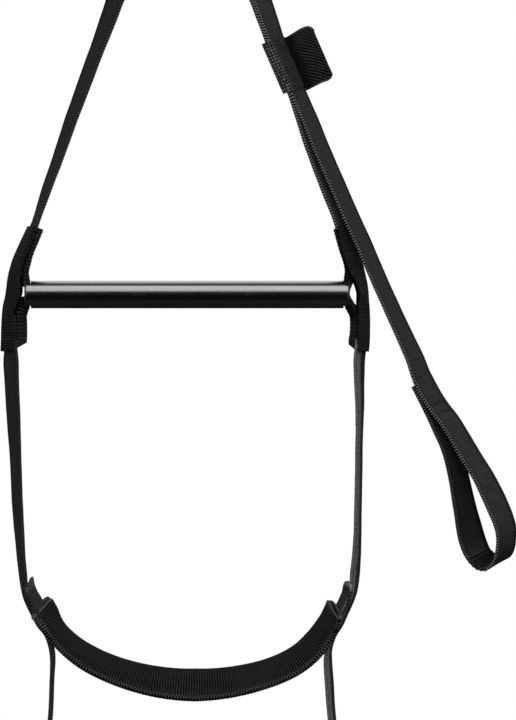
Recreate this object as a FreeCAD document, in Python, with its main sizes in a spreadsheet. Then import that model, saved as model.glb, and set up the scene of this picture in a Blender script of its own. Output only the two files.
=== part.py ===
"""Webbing foot ladder with a rigid top bar, two soft foot steps and a grab strap.

Millimetres. +Z is up, X runs along the bar and Y from front to back. The origin is the centre of
the sewn clip-in eye, and the ladder hangs below it.
"""
import FreeCAD, Part
import math
import os
from types import SimpleNamespace

import Sketcher
from FreeCAD import Placement, Rotation, Vector

os.makedirs("parts", exist_ok=True)

DRIVING_SIZES = {
    # webbing
    "webbing_width": 25.4,
    "webbing_thickness": 2.2,
    "strap_gap": 0.15,
    "thread_height": 0.7,
    "bartack_length": 3.0,
    "bartack_width": 20.0,
    # clip-in eye
    "eye_radius": 12.0,
    "eye_point": 15.2,
    "eye_length": 42.0,
    "eye_fold": 24.0,
    # hanger: the two risers above the bar, and the sleeves round the bar's ends
    "hanger_height": 393.0,
    "parting_height": 40.0,
    "riser_inset": 8.0,
    "sleeve_above": 55.0,
    "sleeve_below": 45.0,
    "sleeve_thickness": 1.8,
    "sleeve_standoff": 9.7,
    "standoff_depth": 26.0,
    # spreader bar
    "bar_length": 257.6,
    "bar_diameter": 22.2,
    "bar_wall": 1.6,
    "notch_depth": 3.8,
    "notch_width": 17.0,
    "plug_flange": 1.2,
    "plug_core": 14.0,
    "plug_gap": 0.05,
    "retainer_gathered_width": 16.0,
    "retainer_gathered_thickness": 3.0,
    # risers between the bar and the steps
    "riser_fold": 38.0,
    "step_drop": 312.5,
    "step_pitch": 320.0,
    "shoulder_gap": 17.0,
    "ankle_tuck": 23.2,
    # foot steps
    "step_reach": 116.3,
    "step_sag": 60.5,
    "step_width": 38.0,
    "step_tilt": 45.0,
    "step_end_tilt": 27.0,
    "cover_wall": 1.8,
    "cover_gap": 0.2,
    "stiffener_width": 28.0,
    "stiffener_thickness": 1.4,
    "step_rigid_reach": 92.0,
    "tail_length": 28.0,
    "seam_inset": 4.0,
    "seam_width": 1.2,
    # grab strap, keeper and hand loop
    "keeper_rise": 183.0,
    "keeper_length": 43.0,
    "keeper_wall": 1.7,
    "keeper_gap": 0.3,
    "flap_length": 19.0,
    "flap_thickness": 3.4,
    "flap_gap": 0.4,
    "grab_fold": 24.0,
    "grab_length": 217.0,
    "loop_fold": 18.0,
    "loop_radius": 26.0,
    "loop_point": 84.0,
    "loop_stem": 45.0,
}

doc = FreeCAD.newDocument("FootLadder")
sizes = doc.addObject("Spreadsheet::Sheet", "sizes")
for row, (alias, number) in enumerate(DRIVING_SIZES.items(), start=1):
    sizes.set(f"A{row}", alias.replace("_", " "))
    sizes.set(f"B{row}", str(number))
    sizes.setAlias(f"B{row}", alias)
doc.recompute()
S = SimpleNamespace(**{alias: float(sizes.get(alias)) for alias in DRIVING_SIZES})

SIDES = (("left", -1), ("right", 1))
X, Y, Z = Vector(1, 0, 0), Vector(0, 1, 0), Vector(0, 0, 1)
LAYER = S.webbing_thickness + S.strap_gap
APEX = -S.eye_length
BAR = APEX - S.hanger_height
BAR_END = S.bar_length / 2 + S.plug_flange
parts = []


def value(expression):
    """An expression of the sheet's sizes, as a plain number."""
    found = sizes.evalExpression(expression)
    return float(getattr(found, "Value", found))


def keep(feature, label):
    feature.Label = label
    parts.append(feature)
    return feature


# ---------------------------------------------------------------- bodies made from sketches


def new_body(label):
    return keep(doc.addObject("PartDesign::Body", label), label)


def new_sketch(body, role):
    plane = next(f for f in body.Origin.OriginFeatures if f.Role == role)
    sketch = body.newObject("Sketcher::SketchObject", body.Label + "_sketch")
    sketch.AttachmentSupport = [(plane, "")]
    sketch.MapMode = "FlatFace"
    return sketch


def constrain(sketch, kind, *places, expression=None):
    """Adds one constraint. With an expression, its number comes from the sheet."""
    if expression is None:
        sketch.addConstraint(Sketcher.Constraint(kind, *places))
        return
    index = sketch.addConstraint(Sketcher.Constraint(kind, *places, value(expression)))
    sketch.setExpression(f"Constraints[{index}]", expression)


def circle(sketch, radius):
    index = sketch.addGeometry(Part.Circle(Vector(0, 0, 0), Z, value(radius)), False)
    constrain(sketch, "Coincident", index, 3, -1, 1)
    constrain(sketch, "Radius", index, expression=radius)


def rectangle(sketch, left, right, low, high):
    """A rectangle between four distances from the sketch's origin, each an expression."""
    x0, x1, y0, y1 = (value(side) for side in (left, right, low, high))
    corners = [Vector(x0, y0, 0), Vector(x1, y0, 0), Vector(x1, y1, 0), Vector(x0, y1, 0)]
    first = sketch.GeometryCount
    for number in range(4):
        sketch.addGeometry(Part.LineSegment(corners[number], corners[(number + 1) % 4]), False)
    for number in range(4):
        constrain(sketch, "Coincident", first + number, 2, first + (number + 1) % 4, 1)
    for number, kind in enumerate(("Horizontal", "Vertical", "Horizontal", "Vertical")):
        constrain(sketch, kind, first + number)
    for corner, (across, up) in ((0, (left, low)), (2, (right, high))):
        constrain(sketch, "DistanceX", -1, 1, first + corner, 1, expression=across)
        constrain(sketch, "DistanceY", -1, 1, first + corner, 1, expression=up)


def teardrop(sketch, radius, point):
    """A circle about the origin drawn down to a point on the -Y axis, its sides tangent to it."""
    r, tip = value(radius), value(point)
    half = math.asin(r / tip)
    touch = [Vector(side * r * math.cos(half), -r * math.sin(half), 0) for side in (-1, 1)]
    round_top = Part.ArcOfCircle(Part.Circle(Vector(0, 0, 0), Z, r), -half, math.pi + half)
    arc = sketch.addGeometry(round_top, False)
    end = Vector(0, -tip, 0)
    down = sketch.addGeometry(Part.LineSegment(touch[0], end), False)
    back = sketch.addGeometry(Part.LineSegment(end, touch[1]), False)
    constrain(sketch, "Coincident", arc, 3, -1, 1)
    constrain(sketch, "Coincident", down, 2, back, 1)
    constrain(sketch, "PointOnObject", down, 2, -2)
    constrain(sketch, "Tangent", arc, 2, down, 1)
    constrain(sketch, "Tangent", back, 2, arc, 1)
    constrain(sketch, "Radius", arc, expression=radius)
    constrain(sketch, "DistanceY", -1, 1, down, 2, expression=f"-({point})")


def pad(body, sketch, length, midplane=False, reverse=False):
    feature = body.newObject("PartDesign::Pad", body.Label + "_pad")
    feature.Profile = sketch
    feature.Midplane = midplane
    feature.Reversed = reverse
    feature.setExpression("Length", length)
    doc.recompute()
    return feature


def pocket(body, sketch, length):
    """Cuts the sketch through the body, half of the length to each side of its plane."""
    before = body.Shape.Volume
    feature = body.newObject("PartDesign::Pocket", body.Label + "_pocket")
    feature.Profile = sketch
    feature.Midplane = True
    feature.setExpression("Length", length)
    doc.recompute()
    if body.Shape.Volume >= before:
        raise RuntimeError(f"{body.Label}: the pocket cuts nothing")
    return feature


def webbing_loop(label, radius, point, stem, place):
    """A strap folded into a loop about the local Z axis, its two ends laid together down the stem."""
    wall = "sizes.webbing_thickness"
    body = new_body(label)
    outside = new_sketch(body, "XY_Plane")
    teardrop(outside, f"{radius} + {wall}", f"({radius} + {wall}) * {point} / {radius}")
    pad(body, outside, "sizes.webbing_width", midplane=True)
    ends = new_sketch(body, "XY_Plane")
    rectangle(ends, f"-{wall}", wall, f"-({stem})", f"-({point})")
    pad(body, ends, "sizes.webbing_width", midplane=True)
    inside = new_sketch(body, "XY_Plane")
    teardrop(inside, radius, point)
    pocket(body, inside, "2 * sizes.webbing_width")
    body.Placement = place
    return body


# ---------------------------------------------------------------- straps swept along their run


class Station:
    """One place along a strap: its centre, the way it runs, and its width direction."""

    def __init__(self, centre, run, across):
        self.centre = centre
        self.run = run.normalize()
        self.across = (across - self.run * across.dot(self.run)).normalize()
        self.face = self.run.cross(self.across)

    def at(self, a, b):
        """The point a along the width and b along the face's normal from the centre."""
        return self.centre + self.across * a + self.face * b

    def moved(self, a, b):
        return Station(self.at(a, b), Vector(self.run), Vector(self.across))


def swept(stations, outlines):
    """A closed solid through one polygon of (a, b) points per station."""
    wires = []
    for station, outline in zip(stations, outlines):
        corners = [station.at(a, b) for a, b in outline]
        wires.append(Part.makePolygon(corners + corners[:1]))
    solid = Part.makeLoft(wires, True, True)
    if solid.Volume < 0:
        solid.reverse()
    return solid


def flat(width, thickness, a=0.0, b=0.0):
    """A rectangle centred on (a, b)."""
    return [
        (a - width / 2, b - thickness / 2),
        (a + width / 2, b - thickness / 2),
        (a + width / 2, b + thickness / 2),
        (a - width / 2, b + thickness / 2),
    ]


WEBBING = flat(S.webbing_width, S.webbing_thickness)


def add_solid(label, *solids):
    """A node whose solids are made with Part's own functions."""
    feature = doc.addObject("Part::Feature", label)
    feature.Shape = solids[0] if len(solids) == 1 else Part.makeCompound(solids)
    return keep(feature, label)


def add_strap(label, stations, outline=None):
    return add_solid(label, swept(stations, [outline or WEBBING] * len(stations)))


def bartack(station, side, offset=0.0):
    """A row of stitches across a strap, standing on the face that side (+1 or -1) names."""
    height = side * (S.webbing_thickness / 2 + S.strap_gap / 2 + S.thread_height / 2)
    half = S.bartack_length / 2
    outline = flat(S.bartack_width, S.thread_height, b=height)
    ends = [
        Station(station.centre + station.run * (offset + step), Vector(station.run), Vector(station.across))
        for step in (-half, half)
    ]
    return swept(ends, [outline] * 2)


def between(values, low, high):
    return [value for value in values if low < value < high]


# ---------------------------------------------------------------- the run of the risers


def mix(start, end, share):
    return start + (end - start) * share


def blend(table, height):
    """A smooth value at a height, from (height, value) pairs listed downwards."""
    if height >= table[0][0]:
        return table[0][1]
    for (high, start), (low, end) in zip(table, table[1:]):
        if height >= low:
            return mix(start, end, (high - height) / (high - low))
    return table[-1][1]


SLEEVE_TOP = BAR + S.sleeve_above
SLEEVE_BOTTOM = BAR - S.sleeve_below
STANDOFF = BAR - S.standoff_depth
HANGER_SPREAD = BAR_END - S.riser_inset
HANGER_SLOPE = HANGER_SPREAD / (S.hanger_height - S.sleeve_above)
STANDOFF_SPREAD = BAR_END + S.sleeve_standoff
SHOULDER_SPREAD = S.step_reach + S.shoulder_gap
ANKLE_SPREAD = SHOULDER_SPREAD - S.ankle_tuck


def step_bottom(number):
    return BAR - S.step_drop - (number - 1) * S.step_pitch


def step_top(number):
    return step_bottom(number) + S.step_sag


def upper_spread(height):
    """Half the distance between the risers' centre lines, from the eye to below the bar."""
    if height >= SLEEVE_TOP:
        return (APEX - height) * HANGER_SLOPE
    if height <= STANDOFF:
        return STANDOFF_SPREAD
    length = SLEEVE_TOP - STANDOFF
    share = (SLEEVE_TOP - height) / length
    start = 2 * share**3 - 3 * share**2 + 1
    lean = share**3 - 2 * share**2 + share
    return start * HANGER_SPREAD + lean * length * HANGER_SLOPE + (1 - start) * STANDOFF_SPREAD


def riser_table(number):
    """Heights and spreads from the bar or a step down to step number, and past it."""
    top = step_top(number)
    start = SLEEVE_BOTTOM if number == 1 else ankle(number - 1)
    above = STANDOFF_SPREAD if number == 1 else ANKLE_SPREAD
    sway = 0.40 if number == 1 else 0.7
    shoulder = SHOULDER_SPREAD
    tuck = S.ankle_tuck
    return (
        (start, above),
        (mix(start, top + 0.45 * S.step_sag, 0.7), mix(above, shoulder, sway)),
        (top + 0.45 * S.step_sag, shoulder),
        (top + 0.28 * S.step_sag, shoulder - 0.08 * tuck),
        (top + 0.13 * S.step_sag, shoulder - 0.18 * tuck),
        (top - 0.03 * S.step_sag, shoulder - 0.35 * tuck),
        (top - 0.19 * S.step_sag, shoulder - 0.56 * tuck),
        (top - 0.35 * S.step_sag, shoulder - 0.82 * tuck),
        (top - 0.50 * S.step_sag, shoulder - 0.97 * tuck),
        (ankle(number), ANKLE_SPREAD),
    )


def ankle(number):
    """The height where the risers leave step number downwards."""
    return step_top(number) - 0.66 * S.step_sag


PARTED = APEX - S.parting_height
KEEPER = BAR + S.keeper_rise
TWISTS = (
    (APEX, 90.0),
    (PARTED, 90.0),
    (mix(PARTED, KEEPER + S.keeper_length, 0.42), 58.0),
    (mix(PARTED, KEEPER + S.keeper_length, 0.92), 35.0),
    (KEEPER + S.keeper_length, 31.0),
    (KEEPER - S.keeper_length, 31.0),
    (SLEEVE_TOP, 15.0),
    (SLEEVE_BOTTOM, 14.0),
    (mix(SLEEVE_BOTTOM, step_top(1), 0.25), 9.0),
    (mix(SLEEVE_BOTTOM, step_top(1), 0.68), 0.0),
    (step_top(1) + 0.28 * S.step_sag, -14.0),
    (step_top(1), -18.0),
    (ankle(1), -8.0),
    (mix(ankle(1), step_top(2), 0.7), -5.0),
    (step_top(2) + 0.28 * S.step_sag, -14.0),
    (step_top(2), -18.0),
)


LAYERED_RUN = 100.0


def riser_point(height, outboard):
    """The centre of one riser. The right one lies in front of the left one where they meet."""
    if height > SLEEVE_BOTTOM:
        spread = upper_spread(height)
    else:
        spread = blend(riser_table(1 if height > ankle(1) else 2), height)
    apart = min(max(1 - (PARTED - height) / LAYERED_RUN, 0), 1)
    return Vector(outboard * spread, -outboard * apart * LAYER / 2, height)


def riser(heights, outboard):
    """Stations down one riser. outboard is +1 on the right and -1 on the left. A twist of 0 has the
    webbing edge-on from the front, and a positive one brings its front edge inboard."""
    found = []
    for height in heights:
        run = (riser_point(height - 2, outboard) - riser_point(height + 2, outboard)).normalize()
        if height == APEX:
            run = -Z
        turn = math.radians(blend(TWISTS, height))
        sideways = run.cross(Y) * outboard
        across = Y * math.cos(turn) + sideways * math.sin(turn)
        found.append(Station(riser_point(height, outboard), run, across))
    return found


def heights_down(start, end, step):
    """Evenly spaced heights from start down to end, about a step apart."""
    count = max(2, round((start - end) / step))
    return [mix(start, end, number / count) for number in range(count + 1)]


def face_offset(stations, outboard, distance):
    """The same run on the outboard face, or inboard where the distance is negative."""
    return [station.moved(0, outboard * distance) for station in stations]


# ---------------------------------------------------------------- clip-in eye


eye_place = Placement(Vector(0, 0, 0), Rotation(Y, Z, X))
webbing_loop("clip_eye", "sizes.eye_radius", "sizes.eye_point", "sizes.eye_length", eye_place)

EYE_STEM = S.eye_length - S.eye_point - S.webbing_thickness
grab_end = [Station(Vector(0, -LAYER * 1.5, z), -Z, Vector(X)) for z in (APEX + EYE_STEM * 0.9, APEX)]
add_strap("grab_strap_end", grab_end)

eye_rows = []
for share in (0.25, 0.7):
    row_height = APEX + EYE_STEM * share
    front = Station(Vector(0, -LAYER * 1.5, row_height), -Z, Vector(X))
    back = Station(Vector(0, LAYER / 2, row_height), -Z, Vector(X))
    eye_rows += [bartack(front, 1), bartack(back, -1)]
add_solid("eye_bartacks", *eye_rows)

# ---------------------------------------------------------------- risers above the bar


SLEEVE_OFFSET = S.webbing_thickness / 2 + S.strap_gap + S.sleeve_thickness / 2
SLEEVE = flat(S.webbing_width + 1.0, S.sleeve_thickness)
FOLD_END = APEX - S.eye_fold

for name, outboard in SIDES:
    add_strap(f"{name}_riser_top_fold", riser(heights_down(APEX, FOLD_END, 8), outboard))
    hanging = heights_down(FOLD_END, SLEEVE_TOP, 24) + heights_down(SLEEVE_TOP, SLEEVE_BOTTOM, 10)[1:]
    add_strap(f"{name}_upper_riser", riser(hanging, outboard))
    sleeve_run = riser(heights_down(SLEEVE_TOP, SLEEVE_BOTTOM, 10), outboard)
    add_strap(f"{name}_bar_sleeve", face_offset(sleeve_run, outboard, SLEEVE_OFFSET), SLEEVE)

grab_heights = heights_down(FOLD_END, KEEPER - S.keeper_length / 2, 20)
add_strap("grab_strap_top_fold", face_offset(riser(heights_down(APEX, FOLD_END, 8), 1), 1, LAYER))
add_strap("grab_strap_upper", face_offset(riser(grab_heights, 1), 1, LAYER))

# ---------------------------------------------------------------- spreader bar and its plugs


bar = new_body("spreader_bar")
tube = new_sketch(bar, "YZ_Plane")
circle(tube, "sizes.bar_diameter / 2")
circle(tube, "sizes.bar_diameter / 2 - sizes.bar_wall")
pad(bar, tube, "sizes.bar_length", midplane=True)
notches = new_sketch(bar, "XY_Plane")
half_width = "sizes.notch_width / 2"
inner_end = "sizes.bar_length / 2 - sizes.notch_depth"
outer_end = "sizes.bar_length / 2 + sizes.plug_flange"
rectangle(notches, inner_end, outer_end, f"-{half_width}", half_width)
rectangle(notches, f"-({outer_end})", f"-({inner_end})", f"-{half_width}", half_width)
pocket(bar, notches, "2 * sizes.bar_diameter")
bar.Placement = Placement(Vector(0, 0, BAR), Rotation())

for name, outboard in SIDES:
    plug = new_body(f"{name}_bar_plug")
    flange = new_sketch(plug, "YZ_Plane")
    circle(flange, "sizes.bar_diameter / 2")
    pad(plug, flange, "sizes.plug_flange")
    core = new_sketch(plug, "YZ_Plane")
    circle(core, "sizes.bar_diameter / 2 - sizes.bar_wall - sizes.plug_gap")
    pad(plug, core, "sizes.plug_core", reverse=True)
    strap_way = new_sketch(plug, "XY_Plane")
    rectangle(strap_way, "-sizes.notch_depth", "0", f"-{half_width}", half_width)
    pocket(plug, strap_way, "2 * sizes.bar_diameter")
    facing = Rotation() if outboard > 0 else Rotation(Z, 180)
    plug.Placement = Placement(Vector(outboard * S.bar_length / 2, 0, BAR), facing)

# ---------------------------------------------------------------- retainers and their bartacks


RETAINER_INSET = 6.0
SEWN_ABOVE = 18.0
SEWN_BELOW = 14.0
NOTCH_CLEARANCE = 2.0


def retainer(outboard):
    """A strip sewn to the riser's inner face above and below, and gathered through the bar's notches."""
    top = SLEEVE_TOP - RETAINER_INSET
    sewn_above = riser([top, top - SEWN_ABOVE / 2, top - SEWN_ABOVE], outboard)
    sewn_heights = [SLEEVE_BOTTOM + SEWN_BELOW, SLEEVE_BOTTOM + SEWN_BELOW / 2, SLEEVE_BOTTOM]
    sewn_below = riser(sewn_heights, outboard)
    upper = face_offset(sewn_above, outboard, -LAYER)
    lower = face_offset(sewn_below, outboard, -LAYER)
    through = outboard * (S.bar_length / 2 - S.notch_depth / 2)
    clear = S.bar_diameter / 2 + NOTCH_CLEARANCE
    middle = [
        Station(Vector(through, 0, BAR + height), -Z, Vector(Y))
        for height in (clear, 0.0, -clear)
    ]
    gathered = flat(S.retainer_gathered_width, S.retainer_gathered_thickness)
    outlines = [WEBBING] * 3 + [gathered] * 3 + [WEBBING] * 3
    return upper + middle + lower, outlines


for name, outboard in SIDES:
    strip, outlines = retainer(outboard)
    add_solid(f"{name}_bar_retainer", swept(strip, outlines))
    along_sleeve = riser(heights_down(SLEEVE_TOP, SLEEVE_BOTTOM, 10), outboard)
    outer = face_offset(along_sleeve, outboard, SLEEVE_OFFSET)
    inner = (strip[1], strip[-2])
    rows = [bartack(station, -outboard) for station in inner]
    rows += [bartack(outer[number], outboard) for number in (1, -2)]
    add_solid(f"{name}_sleeve_bartacks", *rows)

# ---------------------------------------------------------------- risers below the bar


MIDDLE_FOLD_END = SLEEVE_BOTTOM - S.riser_fold
LOWER_FOLD_END = ankle(1) - S.riser_fold


def heights_at_step(number, start, end):
    inside = between([height for height, _ in riser_table(number)], end, start)
    return [start] + inside + [end]


for name, outboard in SIDES:
    fold = heights_down(SLEEVE_BOTTOM, MIDDLE_FOLD_END, 10)
    add_strap(f"{name}_riser_middle_fold", riser(fold, outboard))
    add_strap(f"{name}_middle_riser", riser(heights_at_step(1, MIDDLE_FOLD_END, ankle(1)), outboard))
    fold = heights_down(ankle(1), LOWER_FOLD_END, 10)
    add_strap(f"{name}_riser_lower_fold", riser(fold, outboard))
    cut = step_top(2) - 0.35 * S.step_sag
    add_strap(f"{name}_lower_riser", riser(heights_at_step(2, LOWER_FOLD_END, cut), outboard))

# ---------------------------------------------------------------- foot steps


LIP_WIDTH = 7.0
SEAM_HEIGHT = 0.5
POCKET = S.webbing_thickness + S.stiffener_thickness + 3 * S.cover_gap
COVER_HALF = POCKET / 2 + S.cover_wall
NEAR_EDGE = -S.step_width / 2
LIP = NEAR_EDGE + LIP_WIDTH
FOLD_INSIDE = S.step_width / 2 - S.cover_wall
INSIDE_MIDDLE = (LIP + FOLD_INSIDE) / 2
COVER = [
    (NEAR_EDGE, -S.cover_wall),
    (LIP, -COVER_HALF),
    (S.step_width / 2, -COVER_HALF),
    (S.step_width / 2, COVER_HALF),
    (LIP, COVER_HALF),
    (NEAR_EDGE, S.cover_wall),
    (NEAR_EDGE, S.strap_gap / 2),
    (LIP, POCKET / 2),
    (FOLD_INSIDE, POCKET / 2),
    (FOLD_INSIDE, -POCKET / 2),
    (LIP, -POCKET / 2),
    (NEAR_EDGE, -S.strap_gap / 2),
]
STRAP_LEVEL = S.cover_gap + S.webbing_thickness / 2 - POCKET / 2
STIFFENER_LEVEL = POCKET / 2 - S.cover_gap - S.stiffener_thickness / 2
STEP_STRAP = flat(S.webbing_width, S.webbing_thickness, INSIDE_MIDDLE, STRAP_LEVEL)
STIFFENER = flat(S.stiffener_width, S.stiffener_thickness, INSIDE_MIDDLE, STIFFENER_LEVEL)
SEAM_LEVEL = mix(S.cover_wall, COVER_HALF, S.seam_inset / LIP_WIDTH) + SEAM_HEIGHT
SEAM = flat(S.seam_width, SEAM_HEIGHT, NEAR_EDGE + S.seam_inset, SEAM_LEVEL)


def step_height(spread, number):
    """The height of a step's middle line, from its bottom out to where it meets the risers."""
    share = spread / S.step_reach
    return step_bottom(number) + S.step_sag * share**2 * (0.77 + 0.23 * share**8)


def step_run(spreads, number):
    """Stations across a step, from left to right. Its near edge hangs lower than its far edge."""
    found = []
    for spread in spreads:
        rise = step_height(abs(spread + 0.5), number) - step_height(abs(spread - 0.5), number)
        run = Vector(1, 0, rise).normalize()
        share = abs(spread) / S.step_reach
        tilt = math.radians(mix(S.step_tilt, S.step_end_tilt, share**2))
        centre = Vector(spread, 0, step_height(abs(spread), number))
        found.append(Station(centre, run, Y * math.cos(tilt) + run.cross(Y) * math.sin(tilt)))
    return found


def turned(station):
    """The same place on a strap that runs the other way."""
    return Station(Vector(station.centre), station.run * -1, Vector(station.across))


def tail_run(number, outboard):
    """The inner strap from the step's rigid part to its sewn end on the riser's inner face."""
    spreads = [mix(S.step_rigid_reach, S.step_reach, share) * outboard for share in (0, 0.35, 0.7, 1)]
    inside = [station.moved(INSIDE_MIDDLE, STRAP_LEVEL) for station in step_run(spreads, number)]
    top = step_top(number)
    sewn = riser([top + S.tail_length, top + 0.6 * S.tail_length, top + 0.4 * S.tail_length], outboard)
    sewn = face_offset(sewn, outboard, -LAYER)[::-1]
    if outboard > 0:
        sewn = [turned(station) for station in sewn]
    return inside + sewn


for number in (1, 2):
    count = 18
    rigid = [mix(-S.step_rigid_reach, S.step_rigid_reach, place / count) for place in range(count + 1)]
    band = step_run(rigid, number)
    step = f"step_{number}"
    add_strap(f"{step}_cover", band, COVER)
    add_strap(f"{step}_strap", band, STEP_STRAP)
    add_strap(f"{step}_stiffener", band, STIFFENER)
    add_strap(f"{step}_seam", band, SEAM)
    rows = []
    for name, outboard in SIDES:
        ends = [mix(S.step_rigid_reach, S.step_reach, share / 4) * outboard for share in range(5)]
        add_strap(f"{step}_{name}_cover_end", step_run(ends, number), COVER)
        tail = tail_run(number, outboard)
        add_strap(f"{step}_{name}_tail", tail)
        rows += [bartack(tail[place].moved(0, 2 * S.strap_gap), 1) for place in (-2, -1)]
    add_solid(f"{step}_bartacks", *rows)

# ---------------------------------------------------------------- keeper and its flap


def facing(station):
    """Local X out of the strap's outboard face, Y across the strap and Z up along it."""
    return Rotation(station.face, station.across, station.run * -1)


keeper_station = riser([KEEPER], 1)[0].moved(0, LAYER / 2)
half_across = "sizes.webbing_width / 2 + sizes.keeper_gap"
half_deep = "sizes.webbing_thickness + sizes.strap_gap / 2 + sizes.keeper_gap"
keeper = new_body("keeper_wrap")
ring = new_sketch(keeper, "XY_Plane")
rectangle(ring, f"-({half_deep})", half_deep, f"-({half_across})", half_across)
outer_deep = f"{half_deep} + sizes.keeper_wall"
outer_across = f"{half_across} + sizes.keeper_wall"
rectangle(ring, f"-({outer_deep})", outer_deep, f"-({outer_across})", outer_across)
pad(keeper, ring, "sizes.keeper_length", midplane=True)
keeper.Placement = Placement(keeper_station.centre, facing(keeper_station))

FLAP_LEAN = 25.0
flap = new_body("keeper_flap")
root = new_sketch(flap, "XY_Plane")
circle(root, "sizes.flap_thickness / 2")
pad(flap, root, "sizes.keeper_length", midplane=True)
leaf = new_sketch(flap, "XY_Plane")
half_flap = "sizes.flap_thickness / 2"
rectangle(leaf, "0", "sizes.flap_length", f"-{half_flap}", half_flap)
pad(flap, leaf, "sizes.keeper_length", midplane=True)
flap_root = keeper_station.moved(
    value(outer_across) - S.flap_thickness / 2,
    value(outer_deep) + S.flap_gap + S.flap_thickness / 2,
)
flap.Placement = Placement(flap_root.centre, facing(keeper_station) * Rotation(Z, FLAP_LEAN))

edge_rows = []
for along in (-0.42, 0.42):
    row = keeper_station.moved(0, value(outer_deep) - S.webbing_thickness / 2)
    edge_rows.append(bartack(row, 1, along * S.keeper_length))
add_solid("keeper_stitching", *edge_rows)

# ---------------------------------------------------------------- free grab strap and hand loop


STRAP_RUN = Vector(0.410, -0.030, -0.911).normalize()
LOOP_RUN = Vector(0.390, -0.072, -0.918).normalize()
LOOP_ACROSS = Vector(0.772, 0.570, 0.283).normalize()

strap_top = riser(grab_heights, 1)[-1].moved(0, LAYER)


def strap_turned(share):
    """The free strap's width direction, which turns towards the front as it nears the loop."""
    return mix(strap_top.across, LOOP_ACROSS, share**2)


bend = [Station(Vector(strap_top.centre), Vector(strap_top.run), Vector(strap_top.across))]
for share in (0.5, 1.0):
    run = mix(bend[0].run, STRAP_RUN, share).normalize()
    bend.append(Station(bend[-1].centre + run * (S.grab_fold / 2), run, Vector(strap_top.across)))
add_strap("grab_strap_fold", bend)

free = [
    Station(bend[-1].centre + STRAP_RUN * (S.grab_length * share), Vector(STRAP_RUN), strap_turned(share))
    for share in (0, 0.2, 0.4, 0.6, 0.7, 0.8, 0.9, 1.0)
]
add_strap("grab_strap_lower", free)

loop_top = Station(free[-1].centre + LOOP_RUN * S.loop_fold, Vector(LOOP_RUN), Vector(LOOP_ACROSS))
half_way = Station(free[-1].centre + LOOP_RUN * (S.loop_fold / 2), Vector(LOOP_RUN), Vector(LOOP_ACROSS))
add_strap("hand_loop_fold", [free[-1], half_way, loop_top])

LOOP_REACH = S.loop_point + S.loop_stem
loop_centre = loop_top.centre + LOOP_RUN * LOOP_REACH
loop_turn = Rotation(loop_top.run.cross(loop_top.across), loop_top.run, loop_top.across)
loop_place = Placement(loop_centre, loop_turn)
loop_stem = "sizes.loop_point + sizes.loop_stem"
webbing_loop("hand_loop", "sizes.loop_radius", "sizes.loop_point", loop_stem, loop_place)

loop_rows = []
for down in (2 * S.bartack_length, 5 * S.bartack_length):
    for side in (-1, 1):
        stem = Station(loop_top.centre + LOOP_RUN * down, Vector(LOOP_RUN), Vector(LOOP_ACROSS))
        loop_rows.append(bartack(stem.moved(0, side * S.webbing_thickness / 2), side))
add_solid("hand_loop_bartack", *loop_rows)

# ---------------------------------------------------------------- checks and files


doc.recompute()
for thing in doc.Objects:
    if {"Invalid", "Error"} & set(thing.State):
        raise RuntimeError(f"{thing.Label} failed: {thing.State}")
for part in parts:
    if part.Shape.isNull() or not part.Shape.isValid():
        raise RuntimeError(f"{part.Label} has no valid shape")
for part in parts:
    part.Shape.exportStep(f"parts/{part.Label}.step")
print(len(parts), "parts")
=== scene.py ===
from math import ceil, cos, pi, radians, sin, sqrt, tan

import bpy
import numpy as np
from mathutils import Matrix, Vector


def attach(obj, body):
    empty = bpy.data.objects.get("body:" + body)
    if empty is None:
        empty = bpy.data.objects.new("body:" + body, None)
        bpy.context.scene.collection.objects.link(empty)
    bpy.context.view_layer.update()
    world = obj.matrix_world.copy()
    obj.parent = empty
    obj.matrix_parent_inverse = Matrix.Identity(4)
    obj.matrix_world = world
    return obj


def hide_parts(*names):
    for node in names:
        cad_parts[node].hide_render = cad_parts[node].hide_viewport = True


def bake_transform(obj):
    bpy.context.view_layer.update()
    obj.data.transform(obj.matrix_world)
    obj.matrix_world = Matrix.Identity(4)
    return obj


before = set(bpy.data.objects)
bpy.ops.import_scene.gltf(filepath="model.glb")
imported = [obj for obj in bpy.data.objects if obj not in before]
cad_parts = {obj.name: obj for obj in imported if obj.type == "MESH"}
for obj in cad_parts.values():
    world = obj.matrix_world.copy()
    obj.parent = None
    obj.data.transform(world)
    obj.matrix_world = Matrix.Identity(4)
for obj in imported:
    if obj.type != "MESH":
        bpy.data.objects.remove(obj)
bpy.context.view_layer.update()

# ---- sizes, in millimetres

MM = 0.001
WEBBING_WIDTH = 25.4
WEBBING_THICK = 2.2
HALF_WEBBING = WEBBING_WIDTH / 2
LAYER = 2.35  # from the middle of one strap to the middle of the next, laid face to face
PICK = 2.3  # one loop of a woven edge, along the strap
FINE = PICK / 4  # between the places at which a strip is shaped
SLEEVE_THICK = 1.8
SLEEVE_HALF = 13.2
RETAINER_THICK = 1.5
RETAINER_HALF = 12.4
PLEATS = 3.5
PLEAT_DEPTH = 1.15
RIB = 2.1
COARSE_RIB = 3.0
TWILL_RIB = 2.8
BASKET = 2.5
CREASE = 3.4

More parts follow.
